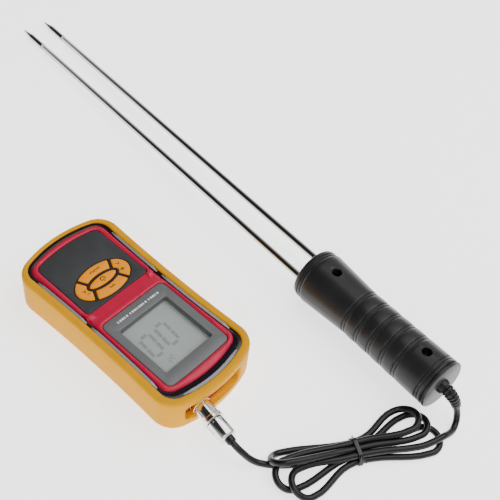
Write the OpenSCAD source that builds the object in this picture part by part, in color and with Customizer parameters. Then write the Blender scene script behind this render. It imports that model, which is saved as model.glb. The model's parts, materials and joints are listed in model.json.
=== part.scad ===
// Grain moisture meter: a hand-held meter in a rubber boot, a tied lead and a two-needle probe.
// Millimetres, +Z up, table at z = 0. The origin is the middle of the meter's resting face.
// +Y runs from the keypad end of the meter to its connector end.

/* [Meter] */
// Length over the rubber boot
meter_l = 165; // [162:1:168]
// Width at the boot's waist
waist_w = 77.6; // [77:0.2:79]
// Height of the boot's rim above the table
meter_h = 30; // [30:0.2:31]
// Radius of the arched ends
end_r = 95; // [90:1:105]
// Radius of the boot's corners
corner_r = 17; // [16:0.5:18]
// Thickness of the boot's wall
boot_t = 5; // [4.6:0.1:5.2]
// Thickness of the plastic case's walls
case_t = 2; // [1.8:0.1:2.2]

/* [Keys and display] */
// Half length of the oval of keys, across the meter
keys_rx = 21.5; // [20:0.5:22]
// Half width of the oval of keys, along the meter
keys_ry = 13; // [12:0.5:13.5]
// Middle of the keys along the meter
keys_y = -31; // [-32:0.5:-30]
// Travel of a key
key_travel = 0.8; // [0.5:0.1:0.8]
// Width of the display window
lcd_w = 42; // [40:0.5:43]
// Length of the display window
lcd_l = 44.2; // [42:0.2:44.6]
// Middle of the display window along the meter
lcd_y = 30.8; // [30.4:0.1:31]

/* [Connector] */
// Height of the connector's axis
plug_z = 15.5; // [15.4:0.1:15.6]
// Distance of the connector's axis from the meter's middle, at the boot's end
plug_x = 16; // [14:0.5:17]
// Turn of the connector's axis from +Y towards +X, in degrees
plug_a = 9; // [7:0.5:10]
// Diameter of the lock ring's grip
ring_d = 13.2; // [12.8:0.1:13.4]
// Diameter of the plug's rear sleeve
sleeve_d = 12.6; // [12.2:0.1:13]

/* [Probe] */
// Length of the handle
handle_l = 124; // [122:1:126]
// Radius of the handle at its front
front_r = 20.4; // [20:0.1:20.6]
// Radius of the handle at its waist
waist_r = 17.7; // [17.4:0.1:18]
// Radius of the handle at its rear
rear_r = 18.6; // [18.2:0.1:18.8]
// Length of the needles in front of the handle
needle_l = 370; // [360:1:380]
// Distance between the needles' axes
needle_gap = 20.8; // [20:0.2:22]
// Outer radius of the needles
needle_r = 2.5; // [2.4:0.1:2.5]

/* [Lead] */
// Diameter of the lead
cord_d = 4.6; // [4.4:0.1:4.8]
// Height of the tied hank
hank_h = 17; // [15:0.5:18]

/* [Hidden] */
$fn = 48;

// Heights in the meter
back_z = 2;                       // outer face of the back case
split_z = plug_z;                 // joint between the case halves
shoulder_z = 26.4;                // case shoulder that carries the black band
bezel_z = 29.8;                   // top of the raised bezel
floor_z = 27;                     // underside of the bezel's floor
band_z = 28.2;                    // top of the black band round the bezel
inlay_z = 28.7;                   // top of the silver inlays in the band
panel_z = 28;                     // seat of the keypad panel and display frame
panel_t = 1.2;                    // thickness of the keypad panel
board_z = 19.4;                   // underside of the main board
board_t = 1.6;
board_top = board_z + board_t;
mat_t = 1.2;
lcd_z = 22.3;                     // underside of the display glass
lcd_t = 1.8;
window_z = lcd_z + lcd_t;
window_t = 0.8;

// Insets from the boot's outer face
case_d = boot_t + 0.2;
bezel_d = 8.4;
inlay_d = 5.9;                    // outer edge of the inlays
inlay_side_d = 7.5;               // inner edge of the inlays at the sides
inlay_end_d = 8.3;                // inner edge of the inlay at the connector end
key_end_draw = 2.5;                 // the face reaches this much nearer to the boot's edge at the keypad end
bezel_draw = 4.2;                 // the bezel ends this much further inside at the connector end
side_r = 1200;                    // radius of the waisted sides

// Keypad panel and display frame: width, length, flat edge's place, corner radii and bow of the far end
panel_size = [54, 56.2];
panel_y = -15.3;
frame_size = [54.8, 65.8];
frame_y = -2.5;

// Battery bay and its cover
bay_w = 45;
bay_y0 = -61.5;
bay_y1 = -10.5;
bay_top = 14.3;
cover_t = 1.4;
cover_w = 49;
seat_x = cover_w / 2 + 0.4;       // half width of the cover's seat
cover_y0 = -64;                   // hinge axis of the cover
cover_y1 = -8.5;
hinge_z = back_z + cover_t / 2;
cell_r = 5.25;
cell_l = 44.5;

// Screws of the case and board
case_screw_at = [[27, 66], [-27, 66], [27, -67.5], [-27, -67.5]];
board_screw_at = [[26, 58.5], [-26, 58.5], [26, -55], [-26, -55]];

// Connector: its axis starts at the boot's end, and stations are measured along it
plug_base = [plug_x, meter_l / 2 - 2.5, plug_z];
plug_dir = [sin(plug_a), cos(plug_a), 0];
barrel_r = 5.3;                   // socket barrel
bore_clear = 0.08;                // running clearance of the lock ring on the barrel
case_face_s = -4.05;              // outer face of the case on the axis
ring_s0 = -2.1;
ring_s1 = 14.6;
sleeve_s0 = 15.2;
sleeve_s1 = 29.5;
collar_s1 = 33;
nose_r = 4.3;

// Handle: place of its front face, turn from +Y towards +X, and rise towards its rear
handle_at = [-117.2, 61.2, 20.02];
handle_yaw = 6.9;
handle_rise = 2.8;
groove_s0 = 46.5;                 // first of the grip's grooves
groove_step = 11.9;
groove_n = 5;
screw_s = [21.3, 105.8];          // stations of the handle's screws
tip_cone_l = 13.5;
tip_l = 31.5;
ring_l = 2.5;

// Route of the lead from the plug to the hank, past its straight start in the plug
plug_route = [
    [21.2, 113, 15.4], [21, 117, 13.8], [19.6, 121, 10.4],
    [17.6, 125, 6.4], [15, 129, 3.6], [12, 133, 2.6], [9, 137, 2.6], [6, 140.5, 3]
];
// Middle line of the strain relief, from the handle's rear face
relief_route = [
    [-102.3, 184.2, 26.1], [-101.8, 188.6, 26.2], [-101.7, 191.6, 25],
    [-102.2, 194.2, 22.6], [-103, 196.2, 19.2], [-103.8, 197.6, 15.4]
];
// Route of the lead from the strain relief to the hank
handle_route = [
    [-103.8, 197.6, 15.4], [-104.2, 198.8, 12], [-103.8, 200.4, 8.6], [-102, 202.2, 5.6],
    [-98.6, 203.8, 3.6], [-94.4, 204.8, 3.4], [-90, 204.8, 4.8], [-85, 204, 6.8], [-79, 202.4, 7.4]
];
// Middles of the three loops in each of the hank's lobes, and of its waist
hank_left = [[1.8, 141], [7, 149.8], [4.2, 160.6]];
hank_right = [[-73.5, 177.5], [-76.5, 184], [-75.8, 196.2]];
hank_waist = [-36, 169];
hank_turn = 150;                  // direction from the waist to the right lobe
hank_right_h = 14;                // the right lobe lies lower than the left one
lobe_r = 12;
waist_half = 10;
waist_h = 10;
tie_w = 3;
tie_t = 1;

rubber_black = [0.12, 0.12, 0.12];
grip_black = [0.15, 0.15, 0.16];

// ---- shared functions and modules ----

function unit(v) = v / norm(v);
// Points of an arc; from = 1 leaves out the first
function arc(c, r, a0, a1, n, from = 0) =
    [for (i = [from : n]) c + r * [cos(a0 + (a1 - a0) * i / n), sin(a0 + (a1 - a0) * i / n)]];

// Centres of the end arch, the waisted side and the corner that touches both
arch_c = [0, meter_l / 2 - end_r];
side_c = [waist_w / 2 + side_r, 0];
gap_d = norm(side_c - arch_c);
gap_u = unit(side_c - arch_c);
along = (pow(end_r - corner_r, 2) - pow(side_r + corner_r, 2) + gap_d * gap_d) / (2 * gap_d);
across = sqrt(pow(end_r - corner_r, 2) - along * along);
corner_c = arch_c + along * gap_u + across * [-gap_u.y, gap_u.x];
arch_a = atan2(corner_c.y - arch_c.y, corner_c.x - arch_c.x);
side_a = atan2(side_c.y - corner_c.y, side_c.x - corner_c.x);

// A quarter of the meter's outline, d inside the boot's outer face, from the end's middle to the side's
function quarter(d) = concat(
    arc(arch_c, end_r - d, 90, arch_a, 4),
    arc(corner_c, corner_r - d, arch_a, side_a, 6, 1),
    arc(side_c, side_r + d, 180 + side_a, 180, 3, 1)
);
function outline(d) =
    let (q = quarter(d), n = len(q))
    concat(
        q,
        [for (i = [n - 2 : -1 : 0]) [q[i].x, -q[i].y]],
        [for (i = [1 : n - 1]) [-q[i].x, -q[i].y]],
        [for (i = [n - 2 : -1 : 1]) [-q[i].x, q[i].y]]
    );

// A slab of the meter's plan shape
// The outline drawn out or in along Y at the keypad end and the connector end
function face_outline(d, draw = 0) = [for (p = outline(d))
    [p.x, p.y * (1 + (p.y < 0 ? key_end_draw : -draw) / (meter_l / 2 - d))]];
module plate(d, z0, z1, draw = 0) slab(z0, z1) polygon(face_outline(d, draw));

// Rectangle with round corners, centred
function round_rect(w, l, r) = concat(
    arc([w / 2 - r, l / 2 - r], r, 0, 90, 6),
    arc([r - w / 2, l / 2 - r], r, 90, 180, 6),
    arc([r - w / 2, r - l / 2], r, 180, 270, 6),
    arc([w / 2 - r, r - l / 2], r, 270, 360, 6)
);

// Flat edge on y = 0, far end bowed outwards; g grows the shape all round
function bowed(size, r0, r1, bow, g = 0) =
    let (hw = size.x / 2 + g, l = size.y + g, a = r0 + g, b = r1 + g)
    concat(
        arc([a - hw, a - g], a, 180, 270, 5),
        arc([hw - a, a - g], a, 270, 360, 5),
        arc([hw - b, l - bow - b], b, 0, 82, 6),
        [for (i = [1 : 7]) let (t = 1 - i / 4) [t * (hw - b), l - bow * t * t]],
        arc([b - hw, l - bow - b], b, 98, 180, 6)
    );
module panel_shape(g = 0) translate([0, panel_y]) mirror([0, 1]) polygon(bowed(panel_size, 2, 5, 2.4, g));
module frame_shape(g = 0) translate([0, frame_y]) polygon(bowed(frame_size, 4, 4, 0.6, g));

function oval(rx, ry, a0 = 0, a1 = 360, n = 48) =
    [for (i = [0 : n]) let (a = a0 + (a1 - a0) * i / n) [rx * cos(a), ry * sin(a)]];

module slab(z0, z1) translate([0, 0, z0]) linear_extrude(z1 - z0) children();
module box(x0, x1, y0, y1, z0, z1) translate([x0, y0, z0]) cube([x1 - x0, y1 - y0, z1 - z0]);
module rod(r, z0, z1) translate([0, 0, z0]) cylinder(r = r, h = z1 - z0);
module tube(r, bore, z0, z1) difference() {
    rod(r, z0, z1);
    rod(bore, z0 - 1, z1 + 1);
}

// Frame of the connector: z runs along its axis, out of the meter
module at_plug() translate(plug_base) rotate([0, 0, -plug_a]) rotate([-90, 0, 0]) children();
// Frame of the probe: y runs along its axis towards the rear, z up
module at_handle() translate(handle_at) rotate([handle_rise, 0, -handle_yaw]) children();
module along_handle() at_handle() rotate([-90, 0, 0]) children();

// A tube swept along points: rings square to the route, carried on without twist
function tangents(p) =
    let (n = len(p))
    [for (i = [0 : n - 1]) unit(p[min(i + 1, n - 1)] - p[max(i - 1, 0)])];
function carry(u, t) = unit(u - (u * t) * t);
function sides(t, i = 0, u = [0, -1, 0.2]) =
    let (v = carry(u, t[i]))
    i == len(t) - 1 ? [v] : concat([v], sides(t, i + 1, v));
function catmull(p, k) =
    let (n = len(p))
    concat(
        [for (i = [0 : n - 2], j = [0 : k - 1])
            let (t = j / k, a = p[max(i - 1, 0)], b = p[i], c = p[i + 1], d = p[min(i + 2, n - 1)])
            b + 0.5 * t * (c - a + t * (2 * a - 5 * b + 4 * c - d + t * (3 * b - 3 * c + d - a)))],
        [p[n - 1]]
    );
module sweep(p, radii, m = 10) {
    t = tangents(p);
    u = sides(t);
    n = len(p);
    points = [for (i = [0 : n - 1], j = [0 : m - 1])
        p[i] + radii[i] * (cos(360 * j / m) * u[i] + sin(360 * j / m) * cross(t[i], u[i]))];
    walls = [for (i = [0 : n - 2], j = [0 : m - 1], k = [0, 1])
        let (a = i * m + j, b = i * m + (j + 1) % m)
        k == 0 ? [a, a + m, b] : [b, a + m, b + m]];
    polyhedron(points, concat([[for (j = [0 : m - 1]) j]], walls,
        [[for (j = [m - 1 : -1 : 0]) (n - 1) * m + j]]), convexity = 6);
}
module cord(p, r) sweep(p, [for (q = p) r]);

// ---- boot and case ----

boot_steps = [[3, 0], [0.9, 0.9], [0, 3], [0, meter_h - 2.6], [0.8, meter_h - 0.8], [2.6, meter_h]];
slot_x = [-20, 28];
slot_z = [8.5, 22.5];
back_window = [55, 60];
back_window_y = -37;

module boot_block() {
    m = len(outline(0));
    n = len(boot_steps);
    points = [for (s = boot_steps, p = outline(s[0])) [p.x, p.y, s[1]]];
    walls = [for (i = [0 : n - 2], j = [0 : m - 1], k = [0, 1])
        let (a = i * m + j, b = i * m + (j + 1) % m)
        k == 0 ? [a, b, a + m] : [b, b + m, a + m]];
    polyhedron(points, concat([[for (j = [m - 1 : -1 : 0]) j]], walls,
        [[for (j = [0 : m - 1]) (n - 1) * m + j]]), convexity = 6);
}
module rubber_boot() color("orange") difference() {
    boot_block();
    plate(boot_t, back_z, meter_h - 1.2);
    plate(boot_t + 0.8, back_z, meter_h + 1);
    // Slot in the connector end
    translate([(slot_x[0] + slot_x[1]) / 2, meter_l / 2 + 5, (slot_z[0] + slot_z[1]) / 2])
        rotate([90, 0, 0])
            linear_extrude(20) polygon(round_rect(slot_x[1] - slot_x[0], slot_z[1] - slot_z[0], 3));
    // Window for the battery cover
    translate([0, back_window_y]) slab(-1, back_z + 1) polygon(round_rect(back_window.x, back_window.y, 4));
}

module front_case() color("crimson") difference() {
    union() {
        difference() {
            union() {
                plate(case_d, split_z, shoulder_z);
                plate(bezel_d, shoulder_z, bezel_z, bezel_draw);
            }
            plate(case_d + case_t, split_z - 1, shoulder_z - case_t);
            plate(bezel_d + case_t, split_z - 1, floor_z, bezel_draw);
            slab(panel_z, meter_h) panel_shape(0.1);
            slab(panel_z, meter_h) frame_shape(0.1);
        }
        for (p = case_screw_at) translate(p) rod(3, split_z, shoulder_z);
        for (p = board_screw_at) translate(p) rod(2.2, board_top, floor_z);
    }
    for (p = case_screw_at) translate(p) rod(1.1, split_z - 1, floor_z - 3);
    for (p = board_screw_at) translate(p) rod(0.8, board_z, floor_z - 1);
    translate([0, keys_y]) slab(floor_z - 1, panel_z + 1) polygon(oval(keys_rx + 0.5, keys_ry + 0.5));
    translate([0, lcd_y]) slab(floor_z - 1, panel_z + 1) square([lcd_w, lcd_l] + [2.6, 2.6], center = true);
    at_plug() rod(5.5, -16, 1);
}

module back_case() color("firebrick") difference() {
    union() {
        difference() {
            plate(case_d, back_z, split_z);
            plate(case_d + case_t, back_z + case_t, split_z + 1);
        }
        for (p = case_screw_at) translate(p) rod(3, back_z, split_z);
        box(-bay_w / 2 - 3.5, bay_w / 2 + 3.5, bay_y0 - 4.5, bay_y1 + 3.5, back_z, split_z);
    }
    for (p = case_screw_at) translate(p) {
        rod(1.4, back_z - 1, split_z + 1);
        rod(2.7, back_z - 1, back_z + 2.8);
    }
    // Battery bay, and the seat of its cover with the groove for the hinge edge
    box(-bay_w / 2, bay_w / 2, bay_y0, bay_y1, back_z, bay_top);
    box(-seat_x, seat_x, cover_y0, cover_y1 + 0.4, back_z - 1, back_z + cover_t + 0.3);
    translate([0, cover_y0, hinge_z]) rotate([0, 90, 0]) rod(cover_t / 2 + 0.3, -seat_x, seat_x);
    box(-seat_x, seat_x, cover_y0 - 1.2, cover_y0, back_z - 1, hinge_z);
    at_plug() rod(5.5, -16, 1);
}

module bezel_band() color("black") difference() {
    plate(case_d, shoulder_z, band_z);
    plate(bezel_d, shoulder_z - 1, band_z + 1, bezel_draw);
}

// Stretches of the band that carry an inlay: two on each side and one at the connector end
inlay_y = [[-60, -11], [-7, 57]];
inlay_end_x = 26;
module inlay_strip(inner_d) difference() {
    plate(inlay_d, band_z, inlay_z);
    plate(inner_d, band_z - 1, inlay_z + 1);
}
module trim_inlays() color("darkgray") union() {
    intersection() {
        inlay_strip(inlay_side_d);
        union() for (x = [-waist_w / 2, waist_w / 2], y = inlay_y)
            box(x - 12, x + 12, y[0], y[1], band_z, inlay_z);
    }
    intersection() {
        inlay_strip(inlay_end_d);
        box(-inlay_end_x, inlay_end_x, meter_l / 2 - 18, meter_l / 2, band_z, inlay_z);
    }
}

// ---- keypad ----

module keypad_panel() color("dimgray") difference() {
    slab(panel_z, panel_z + panel_t) panel_shape();
    translate([0, keys_y]) slab(panel_z - 1, panel_z + 2) polygon(oval(keys_rx + 0.5, keys_ry + 0.5));
}

key_top = 30;
key_bottom = 25.4;
power_rx = 12;
power_ry = 4.2;
inner_rx = 13.1;
inner_ry = 5.3;
outer_split = 50;                 // angles where the outer keys part, on the outer and the inner oval
inner_split = 35;
key_gap_a = 1.5;                  // half the gap between two outer keys, in degrees of the outer oval

module key_cap(points) color("sandybrown") translate([0, keys_y]) slab(key_bottom, key_top) polygon(points);
// A key between the two ovals, from angle a to b on the outer one
function ring_key(mid, outer_half, inner_half) = concat(
    oval(keys_rx, keys_ry, mid - outer_half + key_gap_a, mid + outer_half - key_gap_a, 16),
    oval(inner_rx, inner_ry, mid + inner_half - 2.2 * key_gap_a, mid - inner_half + 2.2 * key_gap_a, 12)
);
module power_key() key_cap(oval(power_rx, power_ry, 0, 350, 35));
module measure_key() key_cap(ring_key(-90, 90 - outer_split, 90 - inner_split));
module set_key() key_cap(ring_key(90, 90 - outer_split, 90 - inner_split));
module up_key() key_cap(ring_key(180, outer_split, inner_split));
module down_key() key_cap(ring_key(0, outer_split, inner_split));

dome_at = [[0, 0], [0, -9], [0, 9], [-17, 0], [17, 0]];
module keypad_mat() color("whitesmoke") translate([0, keys_y]) union() {
    slab(board_top, board_top + mat_t) polygon(round_rect(50, 34, 3));
    for (p = dome_at) translate(p) rod(2.4, board_top + mat_t / 2, key_bottom - key_travel - 0.1);
}

// ---- display ----

glass_size = 46;
module display_frame() color("gray") difference() {
    union() {
        slab(panel_z, panel_z + 1.3) frame_shape();
        translate([0, lcd_y]) slab(window_z + window_t, panel_z + 0.5)
            polygon(round_rect(lcd_w + 2.4, lcd_l + 2.4, 1.5));
    }
    translate([0, lcd_y]) slab(lcd_z, meter_h) polygon(round_rect(lcd_w, lcd_l, 1));
}
module lcd_window() color("lightcyan", 0.4) translate([0, lcd_y])
    slab(window_z, window_z + window_t) polygon(round_rect(glass_size, glass_size, 1));
module lcd_glass() color("darkseagreen") translate([0, lcd_y])
    slab(lcd_z, window_z) polygon(round_rect(glass_size, glass_size, 0.5));
module backlight_plate() color("white") translate([0, lcd_y])
    slab(board_top, lcd_z) polygon(round_rect(44, 40, 0.5));
module lcd_connector_strips() color("pink") for (s = [-1, 1])
    translate([0, lcd_y + s * 21.5]) slab(board_top, lcd_z) square([44, 1.6], center = true);

// ---- electronics ----

module main_board() color("green") difference() {
    translate([0, 2, board_z]) linear_extrude(board_t) polygon(round_rect(56, 120, 1.5));
    for (p = board_screw_at) translate(p) rod(0.9, board_z - 1, board_z + 3);
}
module control_chip() color("black") box(-6, 6, 24, 36, board_z - 1.6, board_z);
module board_components() color("tan") {
    for (x = [-20, -16, -12]) box(x, x + 2, 40, 43, board_z - 1.2, board_z);
    for (y = [8, 14, 20]) box(14, 17, y, y + 2, board_z - 1, board_z);
    box(12, 17, 27, 33, board_z - 1.5, board_z);
    translate([-18, 28]) rod(3, board_z - 6, board_z);
    translate([-18, 18]) rod(2.5, board_z - 6, board_z);
    box(-4, 7, 44, 49, board_z - 3.5, board_z);
}
module board_screws() color("silver") for (p = board_screw_at) translate(p) {
    rod(1.6, board_z - 1, board_z);
    rod(0.8, board_z - 0.5, floor_z - 1.5);
}
module case_screws() color("silver") for (p = case_screw_at) translate(p) difference() {
    union() {
        rod(2.4, back_z + 0.8, back_z + 2.8);
        rod(1.1, back_z + 2, floor_z - 4);
    }
    for (a = [0, 90]) rotate(a) box(-1.4, 1.4, -0.3, 0.3, back_z, back_z + 1.6);
}

cell_x = [for (i = [0 : 3]) (i - 1.5) * 10.9];
cell_z = back_z + cover_t + 0.4 + cell_r;
cell_y0 = bay_y0 + 3.4;
// Cells lie head to tail
module batteries() color("dimgray") for (i = [0 : 3]) translate([cell_x[i], cell_y0 + cell_l / 2, cell_z])
    rotate([i % 2 == 0 ? -90 : 90, 0, 0]) union() {
        rod(cell_r, -cell_l / 2, cell_l / 2 - 1);
        rod(1.9, cell_l / 2 - 1.2, cell_l / 2);
    }
// A plate at each end of each cell, with a coil spring as a plain cone at the flat end
module battery_contacts() color("silver") for (i = [0 : 3]) {
    flat_y = i % 2 == 0 ? bay_y0 : bay_y1;
    head_y = i % 2 == 0 ? bay_y1 : bay_y0;
    in_flat = i % 2 == 0 ? 1 : -1;
    head_gap = i % 2 == 0 ? bay_y1 - cell_y0 - cell_l : cell_y0 - bay_y0;
    flat_gap = i % 2 == 0 ? cell_y0 - bay_y0 : bay_y1 - cell_y0 - cell_l;
    translate([cell_x[i], flat_y, cell_z]) rotate([-90 * in_flat, 0, 0]) {
        rod(4.6, 0, 0.4);
        translate([0, 0, 0.3]) cylinder(r1 = 3.8, r2 = 2, h = flat_gap - 0.3);
    }
    translate([cell_x[i], head_y, cell_z]) rotate([90 * in_flat, 0, 0]) {
        rod(4.6, 0, 0.4);
        rod(2, 0.3, head_gap);
    }
}
module battery_leads() color("red") for (s = [-1, 1]) {
    x = s * 24.2;
    cord([[x, -20, 16.2], [x, -12, 16.2], [x + s, -4, 16.3], [x + s, 0, 17.2], [x + s, 1, 19]], 0.6);
}

module battery_cover() color("firebrick") union() {
    box(-cover_w / 2, cover_w / 2, cover_y0, cover_y1, back_z, back_z + cover_t);
    translate([0, cover_y0, hinge_z]) rotate([0, 90, 0]) rod(cover_t / 2, -cover_w / 2, cover_w / 2);
}

// ---- socket ----

socket_back = -14;
module at_pins() for (a = [90, 210, 330]) rotate(a) translate([2.4, 0]) children();
module socket_shell() color("silver") at_plug() difference() {
    union() {
        rod(6.9, case_face_s, case_face_s + 1.5);
        rod(5.4, socket_back + 4, case_face_s + 0.1);
        rod(barrel_r, case_face_s + 1.4, 4);
    }
    rod(4.5, socket_back, 5);
}
module socket_nut() color("silver") at_plug() difference() {
    translate([0, 0, case_face_s - case_t - 2.8]) cylinder(r = 7.6, h = 2.3, $fn = 6);
    rod(5.4, socket_back, 0);
}
module socket_insert() color("black") at_plug() difference() {
    rod(4.5, socket_back + 4, -4.5);
    at_pins() rod(0.5, socket_back, 0);
}
module socket_pins() color("gold") at_plug() at_pins() rod(0.5, socket_back + 1, 2);
module socket_wires() color("dodgerblue") for (i = [-1, 0, 1]) cord([
    [14 + 1.6 * i, 66.2 + 0.25 * i, 15.5], [13.5 + 1.6 * i, 63, 15.3], [12 + 2 * i, 58, 15],
    [10 + 2.6 * i, 54.4, 16], [9 + 3 * i, 53.6, 18.9]
], 0.6);

// ---- plug ----

// A slot along a sleeve of radius r
module grip_slot(r, z0, z1) box(r - 0.35, r + 2, -0.4, 0.4, z0, z1);
module lock_ring() color("silver") at_plug() difference() {
    union() {
        rod(ring_d / 2, ring_s0, 12);
        translate([0, 0, 11.2]) cylinder(r1 = ring_d / 2, r2 = 7.35, h = 0.8);
        rod(7.35, 12, ring_s1);
    }
    rod(barrel_r + bore_clear, ring_s0 - 1, 8.9);
    rod(nose_r + 0.3, 0, ring_s1 + 1);
    for (a = [0 : 60 : 300]) rotate(a) grip_slot(ring_d / 2, 1.6, 9.6);
}
module plug_body() color("silver") at_plug() difference() {
    union() {
        rod(nose_r, -1.5, sleeve_s1 - 2);
        rod(4.9, 4.6, 8.6);
        rod(sleeve_d / 2, sleeve_s0, sleeve_s1 - 1.2);
        translate([0, 0, sleeve_s1 - 1.2]) cylinder(r1 = sleeve_d / 2, r2 = sleeve_d / 2 - 1, h = 1.2);
    }
    rod(3.5, -2, sleeve_s1 - 5);
    rod(3.2, sleeve_s1 - 6, sleeve_s1 + 1);
    for (a = [30 : 60 : 330]) rotate(a) grip_slot(sleeve_d / 2, sleeve_s0 + 1, sleeve_s0 + 7);
}
module plug_insert() color("black") at_plug() difference() {
    rod(3.5, -1.5, 9);
    at_pins() rod(0.9, -2, 10);
}
module plug_contacts() color("gold") at_plug() at_pins() difference() {
    rod(0.9, -1.4, 12);
    rod(0.58, -2, 2.8);
}
module plug_collar() color("black") at_plug() difference() {
    rod(3.2, sleeve_s1 - 5, collar_s1);
    rod(cord_d / 2 + 0.05, sleeve_s1 - 6, collar_s1 + 1);
}

// ---- lead ----

module cord_plug_end() color(rubber_black)
    cord(concat([plug_base + 25.5 * plug_dir, plug_base + 30 * plug_dir], plug_route), cord_d / 2);
module cord_handle_end() color(rubber_black) cord(handle_route, cord_d / 2);

// One side of the hank: a round lobe that narrows to the tie
module hank_lobe(loops, height) linear_extrude(height) hull() {
    for (c = loops) translate(c) circle(lobe_r, $fn = 32);
    translate(hank_waist) circle(waist_half, $fn = 32);
}
module at_tie() translate(hank_waist) rotate(hank_turn) children();
// The space inside the tie
module tie_bore() box(-tie_w, tie_w, tie_t - waist_half, waist_half - tie_t, tie_t, waist_h + tie_t);
module cord_hank() color(rubber_black) difference() {
    union() {
        hank_lobe(hank_left, hank_h);
        hank_lobe(hank_right, hank_right_h);
    }
    // Groove where the tie pulls the strands together
    at_tie() difference() {
        box(-tie_w / 2, tie_w / 2, -waist_half - 2, waist_half + 2, -1, hank_h + 1);
        tie_bore();
    }
}
module cord_tie() color("black") at_tie() difference() {
    box(-tie_w / 2, tie_w / 2, -waist_half, waist_half, 0, waist_h + 2 * tie_t);
    tie_bore();
}
module strain_relief() color(rubber_black) {
    n = len(relief_route) - 1;
    union() {
        sweep(catmull(relief_route, 2), [for (i = [0 : 2 * n]) 5 - 1.7 * i / (2 * n)], 12);
        along_handle() rod(5.4, handle_l - 4, handle_l + 3);
    }
}

// ---- probe ----

// Radius of the grip between its grooves: a taper from the front to the waist, and out again to the rear
function body_r(s) =
    s < groove_s0 ? front_r - (front_r - waist_r) * pow(max(0, s - 14) / (groove_s0 - 14), 1.3)
    : waist_r + (rear_r - waist_r) * pow(max(0, s - 62) / (handle_l - 62), 1.5);
// Two narrow grooves with a rib between them, from station s
function groove_pair(s) =
    let (r = body_r(s))
    [
        [r, s], [r - 0.7, s + 0.25], [r - 0.7, s + 0.75], [r - 0.1, s + 1],
        [r - 0.1, s + 2.6], [r - 0.7, s + 2.85], [r - 0.7, s + 3.35], [r, s + 3.6]
    ];
// The grip swells slightly between two pairs of grooves
function swell(s0, s1) = [for (i = [1 : 3]) let (t = i / 4, s = s0 + t * (s1 - s0))
    [body_r(s) + 0.45 * sin(180 * t), s]];
grip_profile = concat(
    [[0, 0], [front_r - 2.4, 0], [front_r - 1.3, 0.5], [front_r - 0.8, 1.6]],
    [for (p = groove_pair(3.6)) [p.x - 0.5, p.y]],
    [[front_r, 8.4]],
    [for (s = [14 : 8 : 42]) [body_r(s), s]],
    [for (i = [0 : groove_n - 1]) let (s = groove_s0 + i * groove_step)
        each concat(groove_pair(s), i < groove_n - 1 ? swell(s + 3.6, s + groove_step) : [])],
    [for (s = [101, 108]) [body_r(s), s]],
    groove_pair(115),
    [[rear_r - 0.1, 120.4], [rear_r - 1.4, 120.9], [rear_r - 1.4, 122], [rear_r, 122.4],
        [rear_r, handle_l - 0.8], [rear_r - 0.8, handle_l], [0, handle_l]]
);
module grip() rotate([-90, 0, 0]) rotate_extrude($fn = 64) polygon(grip_profile);
module pipe(r, s0, s1) rotate([-90, 0, 0]) rod(r, s0, s1);

block_r = 16.6;
block_s = [3.2, 33];
cavity_r = 14.8;
rear_wall_s = handle_l - 5.4;
boss_r = 5.2;
head_z = 8;                       // top of the screws' heads above the parting plane

module grip_shell() difference() {
    grip();
    pipe(block_r, block_s[0], block_s[1]);
    pipe(cavity_r, block_s[1] - 1, rear_wall_s);
    for (s = [-1, 1]) translate([s * needle_gap / 2, 0, 0]) pipe(needle_r, -1, block_s[0] + 1);
    pipe(5.4, rear_wall_s - 1, handle_l + 1);
}
module handle_upper() color(grip_black) at_handle() difference() {
    union() {
        intersection() {
            grip_shell();
            box(-30, 30, -5, handle_l + 5, 0, 30);
        }
        for (s = screw_s) translate([0, s]) rod(boss_r, 1, body_r(s) - 1);
    }
    for (s = screw_s) translate([0, s]) {
        rod(3.5, head_z - 2.2, 30);
        rod(1.6, -1, 30);
    }
}
module handle_lower() color(grip_black) at_handle() difference() {
    union() {
        intersection() {
            grip_shell();
            box(-30, 30, -5, handle_l + 5, -30, 0);
        }
        for (s = screw_s) translate([0, s]) rod(boss_r - 0.6, 1 - body_r(s), 1);
    }
    for (s = screw_s) translate([0, s]) rod(1.3, -12, 2);
}
module handle_screws() color("silver") at_handle() for (s = screw_s) translate([0, s]) difference() {
    union() {
        rod(3, head_z - 2.2, head_z);
        rod(1.3, -11, head_z - 2);
    }
    for (a = [0, 90]) rotate(a) box(-1.8, 1.8, -0.35, 0.35, head_z - 1.2, head_z + 1);
}
module rod_block() color("ivory") at_handle() difference() {
    pipe(block_r - 0.1, block_s[0], block_s[1] - 1);
    for (s = [-1, 1]) translate([s * needle_gap / 2, 0, 0]) pipe(needle_r, 0, 40);
    translate([0, screw_s[0]]) rod(boss_r + 0.2, -20, 20);
}
tube_s0 = -needle_l + tip_l + ring_l;
module needle(s) color("lightsteelblue") along_handle() translate([s * needle_gap / 2, 0])
    tube(needle_r, needle_r - 0.7, tube_s0, block_s[1] - 1.2);
module probe_rod_left() needle(1);
module probe_rod_right() needle(-1);
module on_needles() along_handle() for (x = [-needle_gap / 2, needle_gap / 2]) translate([x, 0]) children();
module electrode_tips() color("lightsteelblue") on_needles() union() {
    translate([0, 0, -needle_l]) cylinder(r1 = 0.25, r2 = needle_r, h = tip_cone_l);
    rod(needle_r, -needle_l + tip_cone_l, -needle_l + tip_l);
    rod(1.1, -needle_l + tip_l - 0.5, tube_s0 + 10);
}
module tip_insulators() color("lightgray") on_needles() difference() {
    union() {
        rod(needle_r, -needle_l + tip_l, tube_s0);
        rod(needle_r - 0.7, tube_s0 - 0.5, tube_s0 + 9);
    }
    rod(1.1, -needle_l, tube_s0 + 12);
}
module probe_wires() color("red") at_handle() for (s = [-1, 1]) {
    x = s * needle_gap / 2;
    cord([
        [x, tube_s0 + 10, 0], [x, -200, 0], [x, -60, 0], [x, 36, 0],
        [x * 0.95, 50, 0], [x * 0.85, 95, 0], [x * 0.7, 108, 0], [s * 2, 119, 0]
    ], 0.7);
}

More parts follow.
